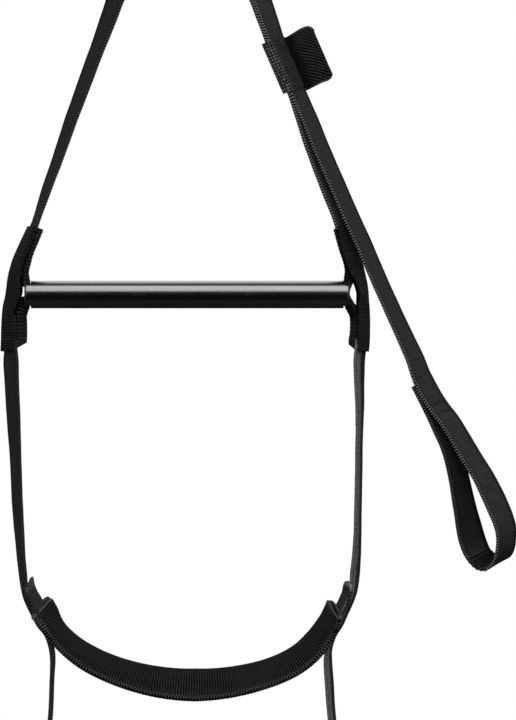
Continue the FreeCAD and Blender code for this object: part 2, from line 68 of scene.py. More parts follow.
EYE_RADIUS = 12.0
EYE_SEAM = 24.6  # height of the stretch that is sewn together under the eye
APEX = -42.0
BAR = -435.0
BAR_LENGTH = 257.6
BAR_RADIUS = 11.1
BAR_WALL = 1.6
NOTCH_DEPTH = 3.8
NOTCH_HALF = 6.2
SLEEVE_TOP = BAR + 55.0
SLEEVE_BOTTOM = BAR - 45.0
PARTED = APEX - 40.0
KEEPER = BAR + 183.0
KEEPER_LENGTH = 43.0
KEEPER_THICK = 1.6
WRAP_HALF = 19.7
KEEPER_WEAVE = -17.5  # middle of the coarse weave, over the keeper's wrap
FLAP_THICK = 2.4
FLAP_PLACE = (12.8, 6.25)  # its root, over the keeper's width and off its face
FLAP_LEAN = radians(25.0)
FLAP_ROOT = -2.7
FLAP_TIP = 21.9
FLAP_STRAIGHT = 16.3  # where its rounded corners start
FLAP_CORNER = 5.65
BAR_TO_STEP = 312.5
STEP_SPACING = 320.0
STEP_SAG = 60.5
STEP_HALF = 19.0
COVER_HALF = 3.9
SEAM = -STEP_HALF + 4.6  # the seam that closes the cover, over its width
COVER_THICK = 1.7
COVER_PRESSED = 34.0  # how far in from each end the cover is pressed flatter
TAIL_PLACE = (2.35, -0.8)  # the strap end and the stiffener, over the band's width and off its face
STIFFENER_PLACE = (2.3, 1.2)
STIFFENER_THICK = 1.4
STIFFENER_HALF = 13.0
EYE_BEND = 24.0  # lengths over which the straps bend: under the eye, and at the folds below
FOLD_BEND = 38.0

X = np.array((1.0, 0.0, 0.0))
Y = np.array((0.0, 1.0, 0.0))
Z = np.array((0.0, 0.0, 1.0))
SIDES = (("left", -1), ("right", 1))


def unit(v):
    return v / np.linalg.norm(v, axis=-1, keepdims=True)


def mix(start, end, share):
    return start + (end - start) * share


def arc(points):
    """The distance along a line of points at each of them."""
    return np.concatenate(([0.0], np.cumsum(np.linalg.norm(np.diff(points, axis=0), axis=1))))


def on_circle(degrees, radius, a=0.0, b=0.0):
    """The point of a circle round (a, b) at that many degrees."""
    angle = radians(degrees)
    return a + radius * cos(angle), b + radius * sin(angle)


def wander(along, seed, reach=1.0):
    """A slow, uneven sway for cloth that doesn't lie dead straight."""
    return reach * (
        0.5 * np.sin(along / 19.0 + 1.7 * seed)
        + 0.3 * np.sin(along / 8.3 + 2.9 * seed)
        + 0.2 * np.sin(along / 4.1 + 4.3 * seed)
    )


# ---- how a strip lies


class Lay:
    """A strip's middle line, the way it runs, and the direction of its width, at many places."""

    def __init__(self, centre, across):
        self.centre = centre
        self.run = unit(np.gradient(centre, axis=0))
        self.across = unit(across - self.run * np.sum(across * self.run, axis=1, keepdims=True))
        self.face = np.cross(self.run, self.across)
        self.along = arc(centre)

    def moved(self, a=0.0, b=0.0):
        """The same run, a along its width and b off its face. Each may change along the run."""
        a, b = np.reshape(a, (-1, 1)), np.reshape(b, (-1, 1))
        return Lay(self.centre + self.across * a + self.face * b, self.across)

    def turned(self, degrees, hinge=0.0):
        """The same run, turned about the line that lies hinge along its width."""
        angle = np.radians(np.reshape(degrees, (-1, 1)))
        across = self.across * np.cos(angle) + self.face * np.sin(angle)
        centre = self.centre + (self.across - across) * hinge
        return Lay(centre, across)

    def part(self, start, end):
        """The stretch between two distances along the run."""
        kept = slice(np.argmin(abs(self.along - start)), np.argmin(abs(self.along - end)) + 1)
        return Lay(self.centre[kept], self.across[kept])

    def reach_height(self, height):
        """The distance at which a run that only goes down reaches a height."""
        return float(np.interp(-height, -self.centre[:, 2], self.along))

    def spot(self, distance):
        """Centre, run, width direction and face normal at a distance along the run."""

        def there(rows):
            return np.array([np.interp(distance, self.along, column) for column in rows.T])

        return there(self.centre), unit(there(self.run)), unit(there(self.across)), unit(there(self.face))


def laid(keys, step=FINE):
    """A smooth run through key places, each one a centre and a width direction."""
    rows = np.array([np.concatenate(key) for key in keys])
    reach = arc(rows[:, :3])
    slope = np.gradient(rows, reach, axis=0)
    fine = np.linspace(0.0, reach[-1], max(3, ceil(reach[-1] / step) + 1))
    k = np.clip(np.searchsorted(reach, fine, "right") - 1, 0, len(reach) - 2)
    gap = (reach[k + 1] - reach[k])[:, None]
    t = (fine[:, None] - reach[k][:, None]) / gap
    smooth = (
        (2 * t**3 - 3 * t**2 + 1) * rows[k]
        + (t**3 - 2 * t**2 + t) * gap * slope[k]
        + (3 * t**2 - 2 * t**3) * rows[k + 1]
        + (t**3 - t**2) * gap * slope[k + 1]
    )
    return Lay(smooth[:, :3], smooth[:, 3:])


# ---- the run of the risers


def step_bottom(number):
    return BAR - BAR_TO_STEP - (number - 1) * STEP_SPACING


def step_top(number):
    return step_bottom(number) + STEP_SAG


# Height from the bar, how far out the riser is, and how many degrees its outer face is turned to the front.
HANGER = {
    -1: (
        (393, 0, 90), (353, 14.5, 90), (300, 33.6, 60), (236, 57.6, 31.5), (216, 64.8, 29), (197, 71.8, 25),
        (178, 78.8, 24.5), (159, 85.8, 23), (140, 92.8, 21.5), (120, 99.8, 19.5), (101, 106.4, 17.5),
        (82, 113.2, 16), (63, 119.4, 12), (52, 123.2, 12), (44, 126.3, 14), (34, 130.3, 15), (24, 134, 15),
        (14, 136.2, 18), (4, 136.8, 21), (-2, 137.6, 21), (-8, 139.6, 18.5), (-13, 140.7, 17.5),
        (-28, 141.2, 19), (-42, 141.2, 20.5), (-52, 140.9, 27), (-72, 140.2, 24.5), (-91, 139.4, 24),
        (-110, 138.4, 22), (-129, 137.5, 19), (-148, 136.7, 18.5), (-168, 135.7, 18), (-187, 134.5, 16.5),
        (-206, 133.2, 14),
    ),
    1: (
        (393, 0, 90), (353, 14.5, 90), (300, 33.6, 60), (236, 57.6, 33), (216, 64.6, 30), (200, 69.9, 28),
        (180, 78.6, 28), (160, 87.2, 27.5), (140, 93.6, 27), (120, 100, 27), (101, 107, 27),
        (82, 114.2, 26.5), (63, 121.6, 25.5), (49, 125.9, 25), (34, 129, 25), (27, 130.8, 25),
        (20, 133.3, 24), (14, 135.8, 19), (11, 136.8, 16), (5, 138.4, 14), (-2, 139.4, 12), (-8, 139, 16),
        (-14, 139.3, 16.5), (-22, 139.6, 16), (-32, 139.4, 16.5), (-40, 138.9, 17.5), (-52, 137.4, 18),
        (-72, 137.6, 15), (-91, 138, 12.5), (-110, 137.8, 10), (-148, 137, 10), (-187, 136.2, 10.5),
        (-206, 135.6, 12.5),
    ),
}
NEAR_STEP = {
    -1: (
        (-225, 131.4, 13), (-235, 130.4, 11), (-244, 128.4, 10), (-254, 124.0, 9), (-264, 118.6, 9),
        (-273, 111.4, 9), (-283, 108.2, 9), (-292, 107.6, 7.5), (-302, 107.8, 6), (-311, 108.2, 6),
    ),
    1: (
        (-225, 134.2, 15), (-235, 133.4, 12), (-244, 130.8, 11), (-254, 126.4, 11), (-264, 121.8, 11),
        (-273, 116.6, 9), (-283, 113.0, 9), (-292, 112.3, 12), (-302, 112.8, 13), (-311, 113.6, 13),
    ),
}
BETWEEN_STEPS = {
    -1: ((-331, 109.0, 6), (-360, 111.6, 6), (-430, 121.0, 9), (-500, 130.0, 10)),
    1: ((-331, 115.0, 12), (-360, 117.6, 11), (-430, 125.0, 11), (-500, 132.4, 11)),
}
RISER = {
    side: HANGER[side] + NEAR_STEP[side] + BETWEEN_STEPS[side]
    + tuple((rise - STEP_SPACING, out, turn) for rise, out, turn in NEAR_STEP[side])
    for _, side in SIDES
}


def riser_place(height, outboard):
    """The riser's centre and how many degrees it is turned, at a height."""
    rise, out, turn = (np.array(column, float) for column in zip(*reversed(RISER[outboard])))
    apart = min(max(1 - (PARTED - height) / 100.0, 0), 1)
    centre = np.array((outboard * np.interp(height - BAR, rise, out), -outboard * apart * LAYER / 2, height))
    return centre, np.interp(height - BAR, rise, turn)


def facing(run, degrees, outboard=1):
    """The width direction of a strip whose outer face is turned that far to the front."""
    turn = radians(degrees)
    return Y * cos(turn) + np.cross(run, Y) * outboard * sin(turn)


def from_edges(near, far, width, outboard, y, z):
    """The centre and width direction of a strip of that width, from how far out its two edges are."""
    centre = np.array((outboard * (near + far) / 2, y, z))
    return centre, unit(np.array((outboard * (far - near), sqrt(width**2 - (far - near) ** 2), 0.0)))


def riser_key(height, outboard):
    """The centre and width direction of one riser at a height."""
    centre, turn = riser_place(height, outboard)
    run = unit(riser_place(height - 3, outboard)[0] - riser_place(height + 3, outboard)[0])
    return centre, facing(run, turn, outboard)


def riser(start, end, outboard, apart=7.0):
    """The smooth run of one riser from one height down to another."""
    count = max(2, round((start - end) / apart))
    return laid([riser_key(mix(start, end, n / count), outboard) for n in range(count + 1)])


# ---- making pieces


def start_piece(name):
    """Names the mesh that was just added, with nothing else selected."""
    piece = bpy.context.object
    piece.name = name
    piece.data.name = name
    return piece


def put_on(piece, kind, **settings):
    """Adds a modifier and applies it."""
    modifier = piece.modifiers.new(kind.title(), kind)
    for setting, number in settings.items():
        setattr(modifier, setting, number)
    bpy.context.view_layer.objects.active = piece
    bpy.ops.object.modifier_apply(modifier=modifier.name)


def soften(piece, width, segments=2):
    """Rounds a piece's sharp edges."""
    limit = radians(60)
    put_on(piece, "BEVEL", width=width * MM, segments=segments, limit_method="ANGLE", angle_limit=limit)


def pick_out(piece):
    """Selects one piece alone."""
    bpy.ops.object.select_all(action="DESELECT")
    piece.select_set(True)
    bpy.context.view_layer.objects.active = piece


def smooth(piece, angle=40.0):
    pick_out(piece)
    bpy.ops.object.shade_smooth_by_angle(angle=radians(angle))


def rest_at_origin(piece):
    pick_out(piece)
    bpy.ops.object.transform_apply(location=True, rotation=True, scale=True)


def dress(piece, finish):
    piece.data.materials.clear()
    piece.data.materials.append(finish.material)


def strip(name, lay, profile, thick, finish, relief=None, offset=0.0, rim=0.5, start=0.0):
    """A strip of cloth. profile holds its (a, b) points over the width, and may change along the run. A
    third number slides a point along the run. relief lifts the face, from the distances along and over
    it. The UV map is in metres."""
    rows, columns = len(lay.along), profile.shape[-2]
    bpy.ops.object.select_all(action="DESELECT")
    bpy.ops.mesh.primitive_grid_add(x_subdivisions=rows - 1, y_subdivisions=columns - 1, size=1)
    piece = start_piece(name)
    mesh = piece.data
    spots = np.empty(len(mesh.vertices) * 3)
    mesh.vertices.foreach_get("co", spots)
    spots = spots.reshape(-1, 3)
    row = np.rint((spots[:, 0] + 0.5) * (rows - 1)).astype(int)
    column = np.rint((spots[:, 1] + 0.5) * (columns - 1)).astype(int)

    profile = np.broadcast_to(profile, (rows, columns, profile.shape[-1]))
    slide, profile = profile[..., 2:], profile[..., :2]
    lean = np.gradient(profile, axis=1)
    over = np.cumsum(np.linalg.norm(np.diff(profile, axis=1), axis=2), axis=1)
    over = np.hstack((np.zeros((rows, 1)), over))
    over = over - over[:, -1:] / 2
    outward = unit(np.stack((-lean[..., 1], lean[..., 0]), axis=2))
    if relief is not None:
        profile = profile + outward * relief(lay.along[:, None], over)[..., None]
    points = lay.centre[:, None] + lay.across[:, None] * profile[..., :1]
    points = points + lay.face[:, None] * profile[..., 1:]
    if slide.size:
        points = points + lay.run[:, None] * slide
    mesh.vertices.foreach_set("co", (points[row, column] * MM).ravel())

    corner = np.empty(len(mesh.loops), dtype=int)
    mesh.loops.foreach_get("vertex_index", corner)
    spread = np.stack((lay.along[row[corner]] + start, over[row[corner], column[corner]]), axis=1)
    mesh.uv_layers[0].data.foreach_set("uv", (spread * MM).ravel())
    mesh.update()
    put_on(piece, "SOLIDIFY", thickness=thick * MM, offset=offset)
    if rim:
        soften(piece, rim)
    smooth(piece)
    dress(piece, finish)
    return piece


# The places over the width at which webbing is shaped, close together at its two edges.
EDGED = np.array((-12.7, -11.5, -10.2, -6.5, -2.2, 2.2, 6.5, 10.2, 11.5, 12.7))


def webbing(name, lay, seed, start=0.0, sway=0.2, finish=None, lift=0.0, slide=0.0):
    """Nylon webbing with its two woven edges, which rise and fall with each pick."""
    profile = np.zeros((len(lay.along), len(EDGED), 3))
    profile[..., 0] = EDGED
    pick = np.cos((lay.along + start) * 2 * pi / PICK)[:, None]
    profile[:, :1, 0] -= 0.16 * pick
    profile[:, -1:, 0] += 0.16 * pick
    profile[:, (0, -1), 1] += 0.12 * pick
    profile[:, (1, -2), 1] -= 0.12 * pick
    profile[..., 1] += (wander(lay.along + start, seed, sway) + lift)[:, None]
    profile[..., 2] = slide
    return strip(name, lay, profile, WEBBING_THICK, finish or nylon, start=start, rim=0.85)


# ---- materials


def grey(level):
    return (level,) * 3


def toned(colour, tone):
    return tuple(channel * tone for channel in colour)


# The colour of painted shade: grooves, edge lines, hidden layers and creases where shade falls.
PAINTED_SHADE = grey(0.002)
# Nylon's plain tones, darker and lighter at random, and a painted highlight for the crowns of its weave.
NYLON = ((0.020, 0.020, 0.0205), (0.031, 0.031, 0.032), (0.052, 0.052, 0.053))
# The painted highlight that the woven edge loops catch.
LOOP_HIGHLIGHT = grey(0.16)


class Nodes:
    """A node tree, with short ways to add nodes to it and join them."""

    def __init__(self, tree):
        self.tree = tree

    def node(self, kind, sockets=(), **settings):
        """Adds a node, gives each named or numbered socket what it is paired with, and hands over the
        node's outputs."""
        made = self.tree.nodes.new("ShaderNode" + kind)
        for setting, number in settings.items():
            setattr(made, setting, number)
        for socket, source in sockets:
            self.join(source, made.inputs[socket])
        return made.outputs

    def join(self, source, socket):
        """Links an output to a socket, or sets the socket to a number, a size or a colour."""
        if isinstance(source, bpy.types.NodeSocket):
            self.tree.links.new(source, socket)
        else:
            socket.default_value = (*source, 1.0) if socket.type == "RGBA" else source

    def maths(self, operation, *numbers):
        """One operation on one, two or three numbers."""
        return self.node("Math", enumerate(numbers), operation=operation)[0]

    def times(self, first, second):
        return self.maths("MULTIPLY", first, second)

    def choose(self, share, first, second):
        """A number between two numbers."""
        return self.node("Mix", ((0, share), (2, first), (3, second)), data_type="FLOAT")[0]

    def blend(self, share, first, second):
        """A colour between two colours."""
        return self.node("Mix", ((0, share), (6, first), (7, second)), data_type="RGBA")[2]

    def ramp(self, source, low, high, to_low=0.0, to_high=1.0):
        ends = enumerate((source, low, high, to_low, to_high))
        return self.node("MapRange", ends, interpolation_type="SMOOTHSTEP")[0]

    def place(self):
        return self.node("TexCoord")["Object"]

    def stretched(self, *scale):
        """The place, scaled in X, Y and Z."""
        return self.node("Mapping", (("Vector", self.place()), ("Scale", scale)))[0]

    def mottle(self, scale, detail=2.0, where=None):
        """A cloudy share between 0 and 1."""
        sockets = (("Vector", where or self.place()), ("Scale", scale), ("Detail", detail))
        return self.node("TexNoise", sockets)["Fac"]

    def apart(self, place):
        """A place's X, Y and Z."""
        return self.node("SeparateXYZ", [(0, place)])

    def spread(self):
        """The distances along and over the strip, from its UV map, in metres."""
        return self.apart(self.node("TexCoord")["UV"])[:2]

    def wave(self, distance, pitch):
        """A cosine of that pitch, in millimetres, between -1 and 1."""
        return self.maths("COSINE", self.times(distance, 2 * pi / (pitch * MM)))

    def short_of(self, limit, distance):
        """How far a distance, to either side, is short of a limit in millimetres."""
        return self.maths("SUBTRACT", limit * MM, self.maths("ABSOLUTE", distance))


class Finish(Nodes):
    """A material and the nodes that make it."""

    def __init__(self, name):
        self.material = bpy.data.materials.new(name)
        self.material.use_nodes = True
        super().__init__(self.material.node_tree)
        self.shader = self.tree.nodes["Principled BSDF"]

    def raise_by(self, height, distance, strength=1.0):
        bump = (("Strength", strength), ("Distance", distance * MM), ("Height", height))
        self.join(self.node("Bump", bump)[0], self.shader.inputs["Normal"])

    def surface(self, **sockets):
        for name, source in sockets.items():
            self.join(source, self.shader.inputs[name.replace("_", " ").title()])

    def cloth(self, colour, cloud, height, distance=0.2, strength=0.8, dull=(0.78, 0.9), shine=0.06):
        """A cloth's surface, as dull as its cloudy patches make it."""
        self.surface(base_color=colour, roughness=self.ramp(cloud, 0.2, 0.8, *dull))
        self.shader.inputs["Specular IOR Level"].default_value = shine
        self.raise_by(height, distance, strength)


def edge_loops(f, along, from_edge, zones, second=1.0):
    """Two rows of loops along an edge, those of the second row between those of the first."""
    pick = f.wave(along, PICK)
    outer, start, end = (f.ramp(from_edge, *zone) for zone in zones)
    first_row = f.times(f.ramp(pick, -0.3, 0.5), outer)
    second_row = f.times(f.ramp(pick, 0.3, -0.5), f.times(start, end))
    return f.maths("MULTIPLY_ADD", second_row, second, first_row)


def make_nylon(name="black nylon webbing", tone=1.0, edge=1.0, far=0.0, sealed=0.0, painted_sleeve_shade=None, painted_bend_light=None):
    """Black nylon webbing: a fine plain weave with a painted highlight on its crowns, and two rows of loops
    along each edge, painted light as highlights, with a painted shade line inside them. edge is how light
    the painted highlights on the loops are, lighter on one side than the other, and far how much painted
    shade darkens the far side. A sealed end, where along is just under nothing, is melted pale. Between
    two distances, inside the sleeve, the webbing is painted dark as shade between the layers. The last
    argument is the distance of a tight bend, past which the webbing has painted highlights and painted
    shade on its creases, and then painted shade."""
    f = Finish(name)
    along, over = f.spread()
    from_edge = f.short_of(HALF_WEBBING, over)
    zones = ((0.0014, 0.0011), (0.0013, 0.0016), (0.0029, 0.0025))
    loops = edge_loops(f, along, from_edge, zones, 0.75)
    # A painted shade line just inside the edge loops.
    painted_edge_shade = f.times(f.ramp(from_edge, 0.0036, 0.0031), min(1.0, 0.3 + edge))
    field = f.times(f.wave(along, PICK / 2), f.wave(over, 1.15))
    field = f.times(field, f.ramp(from_edge, 0.0031, 0.0036))
    height = f.maths("MULTIPLY_ADD", field, 0.22, loops)
    cloud = f.mottle(160.0, 4.0)
    band = f.maths("MULTIPLY_ADD", f.wave(f.maths("MULTIPLY_ADD", cloud, 0.004, along), 4.7), 0.09, cloud)
    low, high, crown = (toned(colour, tone) for colour in NYLON)
    plain = f.blend(f.ramp(band, 0.3, 0.7), low, high)
    # Painted highlight on the crowns of the weave.
    with_crown_highlights = f.blend(f.ramp(field, -0.2, 1.0), plain, crown)
    # Painted highlights on the edge loops, lighter on one side than the other.
    painted_highlight = f.times(loops, f.ramp(over, -0.004, 0.004, edge, 0.3 * edge))
    colour = f.blend(painted_highlight, f.blend(painted_edge_shade, with_crown_highlights, PAINTED_SHADE), toned(LOOP_HIGHLIGHT, min(tone, 1.5)))
    # Painted shade on the far side of the webbing.
    if far:
        colour = f.blend(f.ramp(over, -0.006, 0.004, 0.0, far), colour, PAINTED_SHADE)
    if sealed:
        colour = f.blend(f.ramp(along, -0.0075, -0.0030), colour, grey(sealed))
    # Painted shade over the stretch inside the sleeve, where the layers shade the webbing.
    if painted_sleeve_shade:
        start, end = (distance * MM for distance in painted_sleeve_shade)
        inside = f.times(f.ramp(along, start, start + 0.004), f.ramp(along, end, end - 0.004))
        colour = f.blend(inside, colour, PAINTED_SHADE)
    if painted_bend_light:
        past = f.maths("SUBTRACT", along, painted_bend_light * MM)
        crease = f.wave(past, CREASE)
        near = f.ramp(f.maths("ABSOLUTE", f.maths("SUBTRACT", past, 0.008)), 0.0105, 0.0065)
        # Painted shade past the bend, over the loop's back part.
        colour = f.blend(f.ramp(past, 0.004, 0.030, 0.0, 0.45), colour, PAINTED_SHADE)
        # Painted highlights on the crease crowns, painted shade between them.
        painted_crease_light = f.blend(f.ramp(crease, 0.0, 0.9), PAINTED_SHADE, grey(0.085))
        colour = f.blend(f.times(near, 0.75), colour, painted_crease_light)
    f.cloth(colour, cloud, height, 0.22)
    return f


def make_ribbed(name, tone=1.0, pitch=RIB, slant=0.0, edge=None, hem=None, shade=None):
    """Ribbed webbing: round cross ribs, each one broken into short threads, with painted highlights on the
    ribs' crowns and painted shade between them. edge is how far its dotted edges are from the middle; the
    dots are painted highlights, with a painted shade line inside them. hem is how far its folded ends are,
    each with a pale painted highlight along the fold. shade is painted shade, darkening it from one
    distance over it to another, by that share."""
    f = Finish(name)
    along, over = f.spread()
    across = f.maths("MULTIPLY_ADD", over, tan(radians(slant)), along)
    rib = f.wave(across, pitch)
    thread = f.wave(over, 0.9)
    height = f.maths("MULTIPLY_ADD", thread, 0.12, f.times(rib, 0.5))
    cloud = f.mottle(140.0, 4.0)
    crown = f.ramp(rib, -0.5, 0.8)
    low, high = (toned(colour, tone) for colour in ((0.020, 0.020, 0.0205), (0.036, 0.036, 0.037)))
    crowns = f.blend(f.ramp(cloud, 0.25, 0.75), low, high)
    worn = f.ramp(f.mottle(38.0), 0.42, 0.62, 0.0, 0.6)
    # Painted highlights on the ribs' crowns and painted shade between them; patches darker at random.
    colour = f.blend(worn, f.blend(crown, PAINTED_SHADE, crowns), toned((0.017, 0.017, 0.0175), tone))
    if edge:
        from_edge = f.short_of(edge, over)
        zones = ((0.0017, 0.0014), (0.0018, 0.0021), (0.0037, 0.0034))
        loops = edge_loops(f, along, from_edge, zones)
        # A painted shade line inside the dotted edges, then painted highlights on the dots.
        colour = f.blend(f.ramp(from_edge, 0.0044, 0.0038), colour, PAINTED_SHADE)
        colour = f.blend(loops, colour, grey(0.075))
        height = f.maths("ADD", height, loops)
    if hem:
        from_hem = f.short_of(hem, along)
        # A painted highlight along each folded end.
        colour = f.blend(f.ramp(from_hem, 0.0018, 0.0010), colour, grey(0.07))
    if shade:
        start, end, share = shade
        # Painted shade over a stretch of the width.
        dark = f.ramp(over, start * MM, end * MM, 0.0, share)
        colour = f.blend(dark, colour, PAINTED_SHADE)
    f.cloth(colour, cloud, height)
    return f


def make_basket():
    """Coarse basket weave along one side of the keeper, with a painted highlight on the crown of every
    thread and painted shade between the threads, and smooth round the rest of it."""
    f = Finish("coarse basket weave")
    along, over = f.spread()
    one = f.maths("ABSOLUTE", f.wave(along, 2 * BASKET))
    two = f.maths("ABSOLUTE", f.wave(over, 2 * BASKET))
    crown = f.times(one, two)
    cloud = f.mottle(150.0, 4.0)
    plain = f.blend(f.ramp(cloud, 0.3, 0.7), (0.020, 0.020, 0.0205), (0.030, 0.030, 0.031))
    # Painted highlights on the crowns of the coarse threads, painted shade between them.
    painted_highlight = f.blend(f.ramp(f.mottle(520.0), 0.35, 0.65), grey(0.045), grey(0.16))
    coarse = f.blend(f.ramp(crown, 0.1, 0.8), grey(0.005), painted_highlight)
    near = f.maths("ABSOLUTE", f.maths("SUBTRACT", over, KEEPER_WEAVE * MM))
    colour = f.blend(f.ramp(near, 0.0096, 0.0072), plain, coarse)
    f.cloth(colour, cloud, f.maths("MULTIPLY_ADD", cloud, 0.3, crown), strength=0.7, dull=(0.75, 0.9))
    return f


def make_thread():
    """Bonded sewing thread, with the fine twist of its plies."""
    f = Finish("black sewing thread")
    twist = (("Vector", f.place()), ("Scale", 900.0))
    ply = f.node("TexWave", twist, wave_type="BANDS", bands_direction="DIAGONAL")["Fac"]
    cloud = f.mottle(400.0)
    colour = f.blend(f.ramp(cloud, 0.3, 0.7), (0.014, 0.014, 0.0145), (0.034, 0.034, 0.035))
    f.cloth(colour, cloud, ply, 0.05, 0.6, dull=(0.6, 0.75), shine=0.15)
    return f


def make_bar_metal():
    """Polished dark metal, with faint drawing lines along the tube."""
    f = Finish("polished dark metal")
    lines = f.mottle(1.0, 3.0, f.stretched(2.0, 900.0, 900.0))
    smudge = f.mottle(45.0, 3.0)
    colour = f.blend(f.ramp(lines, 0.3, 0.7), (0.43, 0.435, 0.43), (0.49, 0.495, 0.485))
    f.surface(base_color=colour, metallic=1.0, roughness=f.ramp(smudge, 0.3, 0.7, 0.22, 0.26))
    f.raise_by(lines, 0.002, 0.25)
    return f


def make_plastic(name, low, high, roughness):
    """Moulded black plastic with a fine, uneven grain."""
    f = Finish(name)
    grain = f.mottle(900.0, 3.0)
    rough = f.ramp(grain, 0.2, 0.8, roughness, roughness + 0.15)
    f.surface(base_color=f.blend(grain, low, high), roughness=rough)
    f.raise_by(grain, 0.03, 0.5)
    return f


nylon = make_nylon()
sealed_nylon = {
    -1: make_nylon("nylon with a dull sealed end", edge=0.2, sealed=0.07),
    1: make_nylon("nylon with a pale sealed end", edge=0.2, sealed=0.22),
}
sleeve_ribbed = make_ribbed("ribbed sleeve webbing", tone=0.8)
coarse_ribbed = make_ribbed("coarse ribbed webbing", tone=0.9, pitch=COARSE_RIB)
basket = make_basket()
thread = make_thread()
bar_metal = make_bar_metal()
plug_plastic = make_plastic("moulded black plug", (0.018, 0.018, 0.019), (0.03, 0.03, 0.031), 0.4)
stiffener_plastic = make_plastic("black stiffener sheet", (0.02, 0.02, 0.021), (0.035, 0.035, 0.036), 0.45)

# ---- stitching


def one_stitch():
    """A short round-ended thread along X, one unit long and one across, as points and faces."""
    bpy.ops.object.select_all(action="DESELECT")
    bpy.ops.mesh.primitive_uv_sphere_add(segments=6, ring_count=5, radius=0.5, rotation=(0, pi / 2, 0))
    seed = bpy.context.object
    rest_at_origin(seed)
    points = np.array([v.co for v in seed.data.vertices])
    faces = [list(p.vertices) for p in seed.data.polygons]
    bpy.data.objects.remove(seed)
    return points, faces


STITCH_POINTS, STITCH_FACES = one_stitch()


def sew(name, stitches, thick=0.55):
    """One piece from many stitches, each a centre, a direction with its length, and the cloth's normal."""
    points, faces = [], []
    for centre, way, normal in stitches:
        length = np.linalg.norm(way)
        along = way / length
        side = unit(np.cross(normal, along))
        up = np.cross(along, side)
        scale = np.array((length + thick * 0.6, thick, thick))
        local = STITCH_POINTS * scale
        faces += [[corner + len(points) * len(STITCH_POINTS) for corner in face] for face in STITCH_FACES]
        points.append(centre + local @ np.array((along, side, up)))
    mesh = bpy.data.meshes.new(name)
    mesh.from_pydata((np.vstack(points) * MM).tolist(), [], faces)
    piece = bpy.data.objects.new(name, mesh)
    bpy.context.collection.objects.link(piece)
    smooth(piece, 80.0)
    dress(piece, thread)
    return piece


def bend(piece):
    """Bakes a piece's place into its mesh; it is not bent and is put on no body."""
    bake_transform(piece)


def bartack(spot, side, lift, half=10.0, reach=1.5, pitch=0.85):
    """A dense zigzag across a strap, on the face that side names."""
    centre, run, across, face = spot
    count = round(2 * half / pitch)
    base = centre + face * side * lift
    made = []
    for n in range(count):
        a = mix(-half, half, (n + 0.5) / count)
        lean = 1 if n % 2 else -1
        way = run * 2 * reach + across * lean * pitch
        made.append((base + across * a, way, face * side))
    return made


def running(lay, a, side, lift, start, end, length=1.7, gap=1.0):
    """A line of plain stitches along a strap, a off its middle line."""
    made = []
    distance = start
    while distance + length <= end:
        centre, run, across, face = lay.spot(distance + length / 2)
        made.append((centre + across * a + face * side * lift, run * length, face * side))
        distance += length + gap
    return made


# ---- clip-in eye


def eye_lay():
    """Up from the right riser, round the eye and down to the left riser."""
    radius = EYE_RADIUS + WEBBING_THICK / 2
    keys = [((0, -LAYER / 2, z), X) for z in (APEX, APEX + 9, APEX + 18)]
    for degrees in range(-132, 223, 12):
        z, y = on_circle(degrees, radius)
        keys.append(((0, y, z), X))
    keys += [((0, LAYER / 2, z), X) for z in (APEX + 18, APEX + 9, APEX)]
    return laid([(np.array(centre, float), across) for centre, across in keys])


eye = webbing("clip_eye_loop", eye_lay(), 0.3, sway=0.0)
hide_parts("clip_eye")
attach(eye, "head")

grab_start = laid([(np.array((0, -1.5 * LAYER, APEX + rise)), X) for rise in (22.1, 15, 7, 0.0)])
eye_rows = []
for share in (0.25, 0.7):
    height = APEX + EYE_SEAM * share
    front = (np.array((0, -1.5 * LAYER, height)), -Z, X, -Y)
    back = (np.array((0, LAYER / 2, height)), -Z, X, -Y)
    eye_rows += bartack(front, 1, 1.3) + bartack(back, -1, 1.3)
eye_stitching = sew("eye_bartack_rows", eye_rows)
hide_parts("eye_bartacks")
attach(eye_stitching, "head")

# ---- risers

TUCK = 3.6
ANKLE = step_top(1) - 0.66 * STEP_SAG
# How each riser's webbing looks above and below the bar: lighter and darker copies of one nylon, painted
# light and shade for how the light falls on each part, and the strength of the loops' painted highlights.
# The right riser below the bar is painted much lighter as a painted sheen, with painted shade on its far
# side.
RISER_PAINTED_LIGHT = {
    -1: (dict(tone=0.72, edge=0.5), dict(tone=0.95, edge=0.15)),
    1: (dict(), dict(tone=6.2, edge=0.12, far=0.92)),
}
# Each piece of a riser, the two nodes it stands for, the bodies it joins, and where and how far it bends.
BENDS = (
    ("hanger", "top_fold", "upper_riser", "head", "upper_frame", APEX, EYE_BEND),
    ("below_bar", "middle_fold", "middle_riser", "upper_frame", "middle_frame", SLEEVE_BOTTOM, FOLD_BEND),
    ("below_step", "lower_fold", "lower_riser", "middle_frame", "lower_frame", ANKLE, FOLD_BEND),
)

